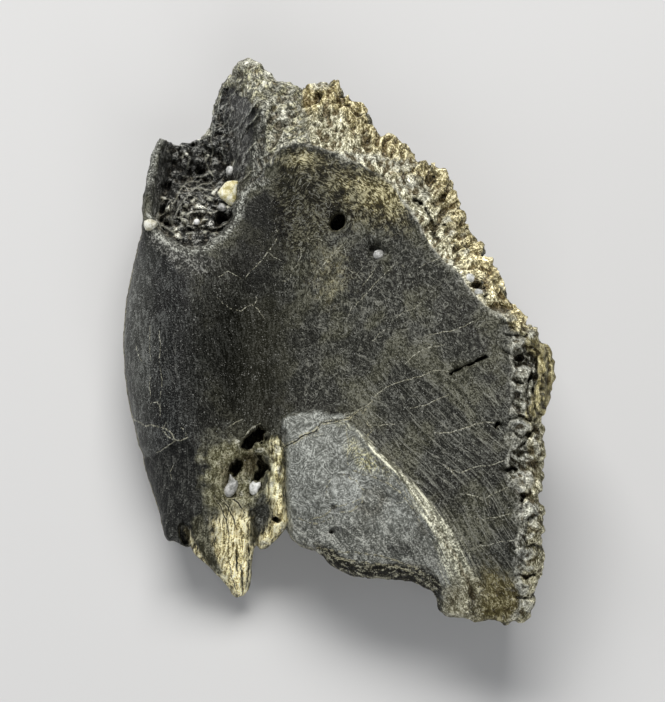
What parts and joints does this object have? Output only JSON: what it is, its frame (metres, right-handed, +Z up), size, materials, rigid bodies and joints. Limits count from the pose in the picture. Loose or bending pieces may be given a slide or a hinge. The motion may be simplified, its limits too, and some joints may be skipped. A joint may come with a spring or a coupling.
{
  "type": "fossil turtle shell fragment",
  "caption": "Broken piece of fossil turtle shell with a rounded hollow flank, a smooth sutured plate, a grey lobe over an arch and a bony fang, with sand and gravel lodged in its openings.",
  "frame": {"origin": "on the resting surface, under the layout centre of the shell, near the middle of its worn underside", "axes": "+Z up from the resting surface, +Y from the fang and arch at the front towards the pointed peak at the back, +X from the rounded flank towards the sutured edge"},
  "size_m": [0.0521, 0.0767, 0.0261],
  "materials": {
    "bone": "satin black to grey permineralised bone, golden brown on the broken sutures",
    "yellow_quartz": "satin yellow quartz grain",
    "pale_quartz": "satin white to cream quartz grains",
    "grey_quartz": "satin grey translucent quartz grains"
  },
  "bodies": {
    "root": {"shell_bone": "bone", "yellow_grain": "yellow_quartz", "blue_white_bead": "pale_quartz", "cream_rim_grain": "pale_quartz", "grey_grain": "grey_quartz", "white_bead": "pale_quartz", "foramen_pebble": "grey_quartz", "slot_grey_pebble": "grey_quartz", "slot_white_pebble": "pale_quartz", "suture_white_grain": "pale_quartz", "suture_small_grain": "pale_quartz"}
  },
  "joints": []
}
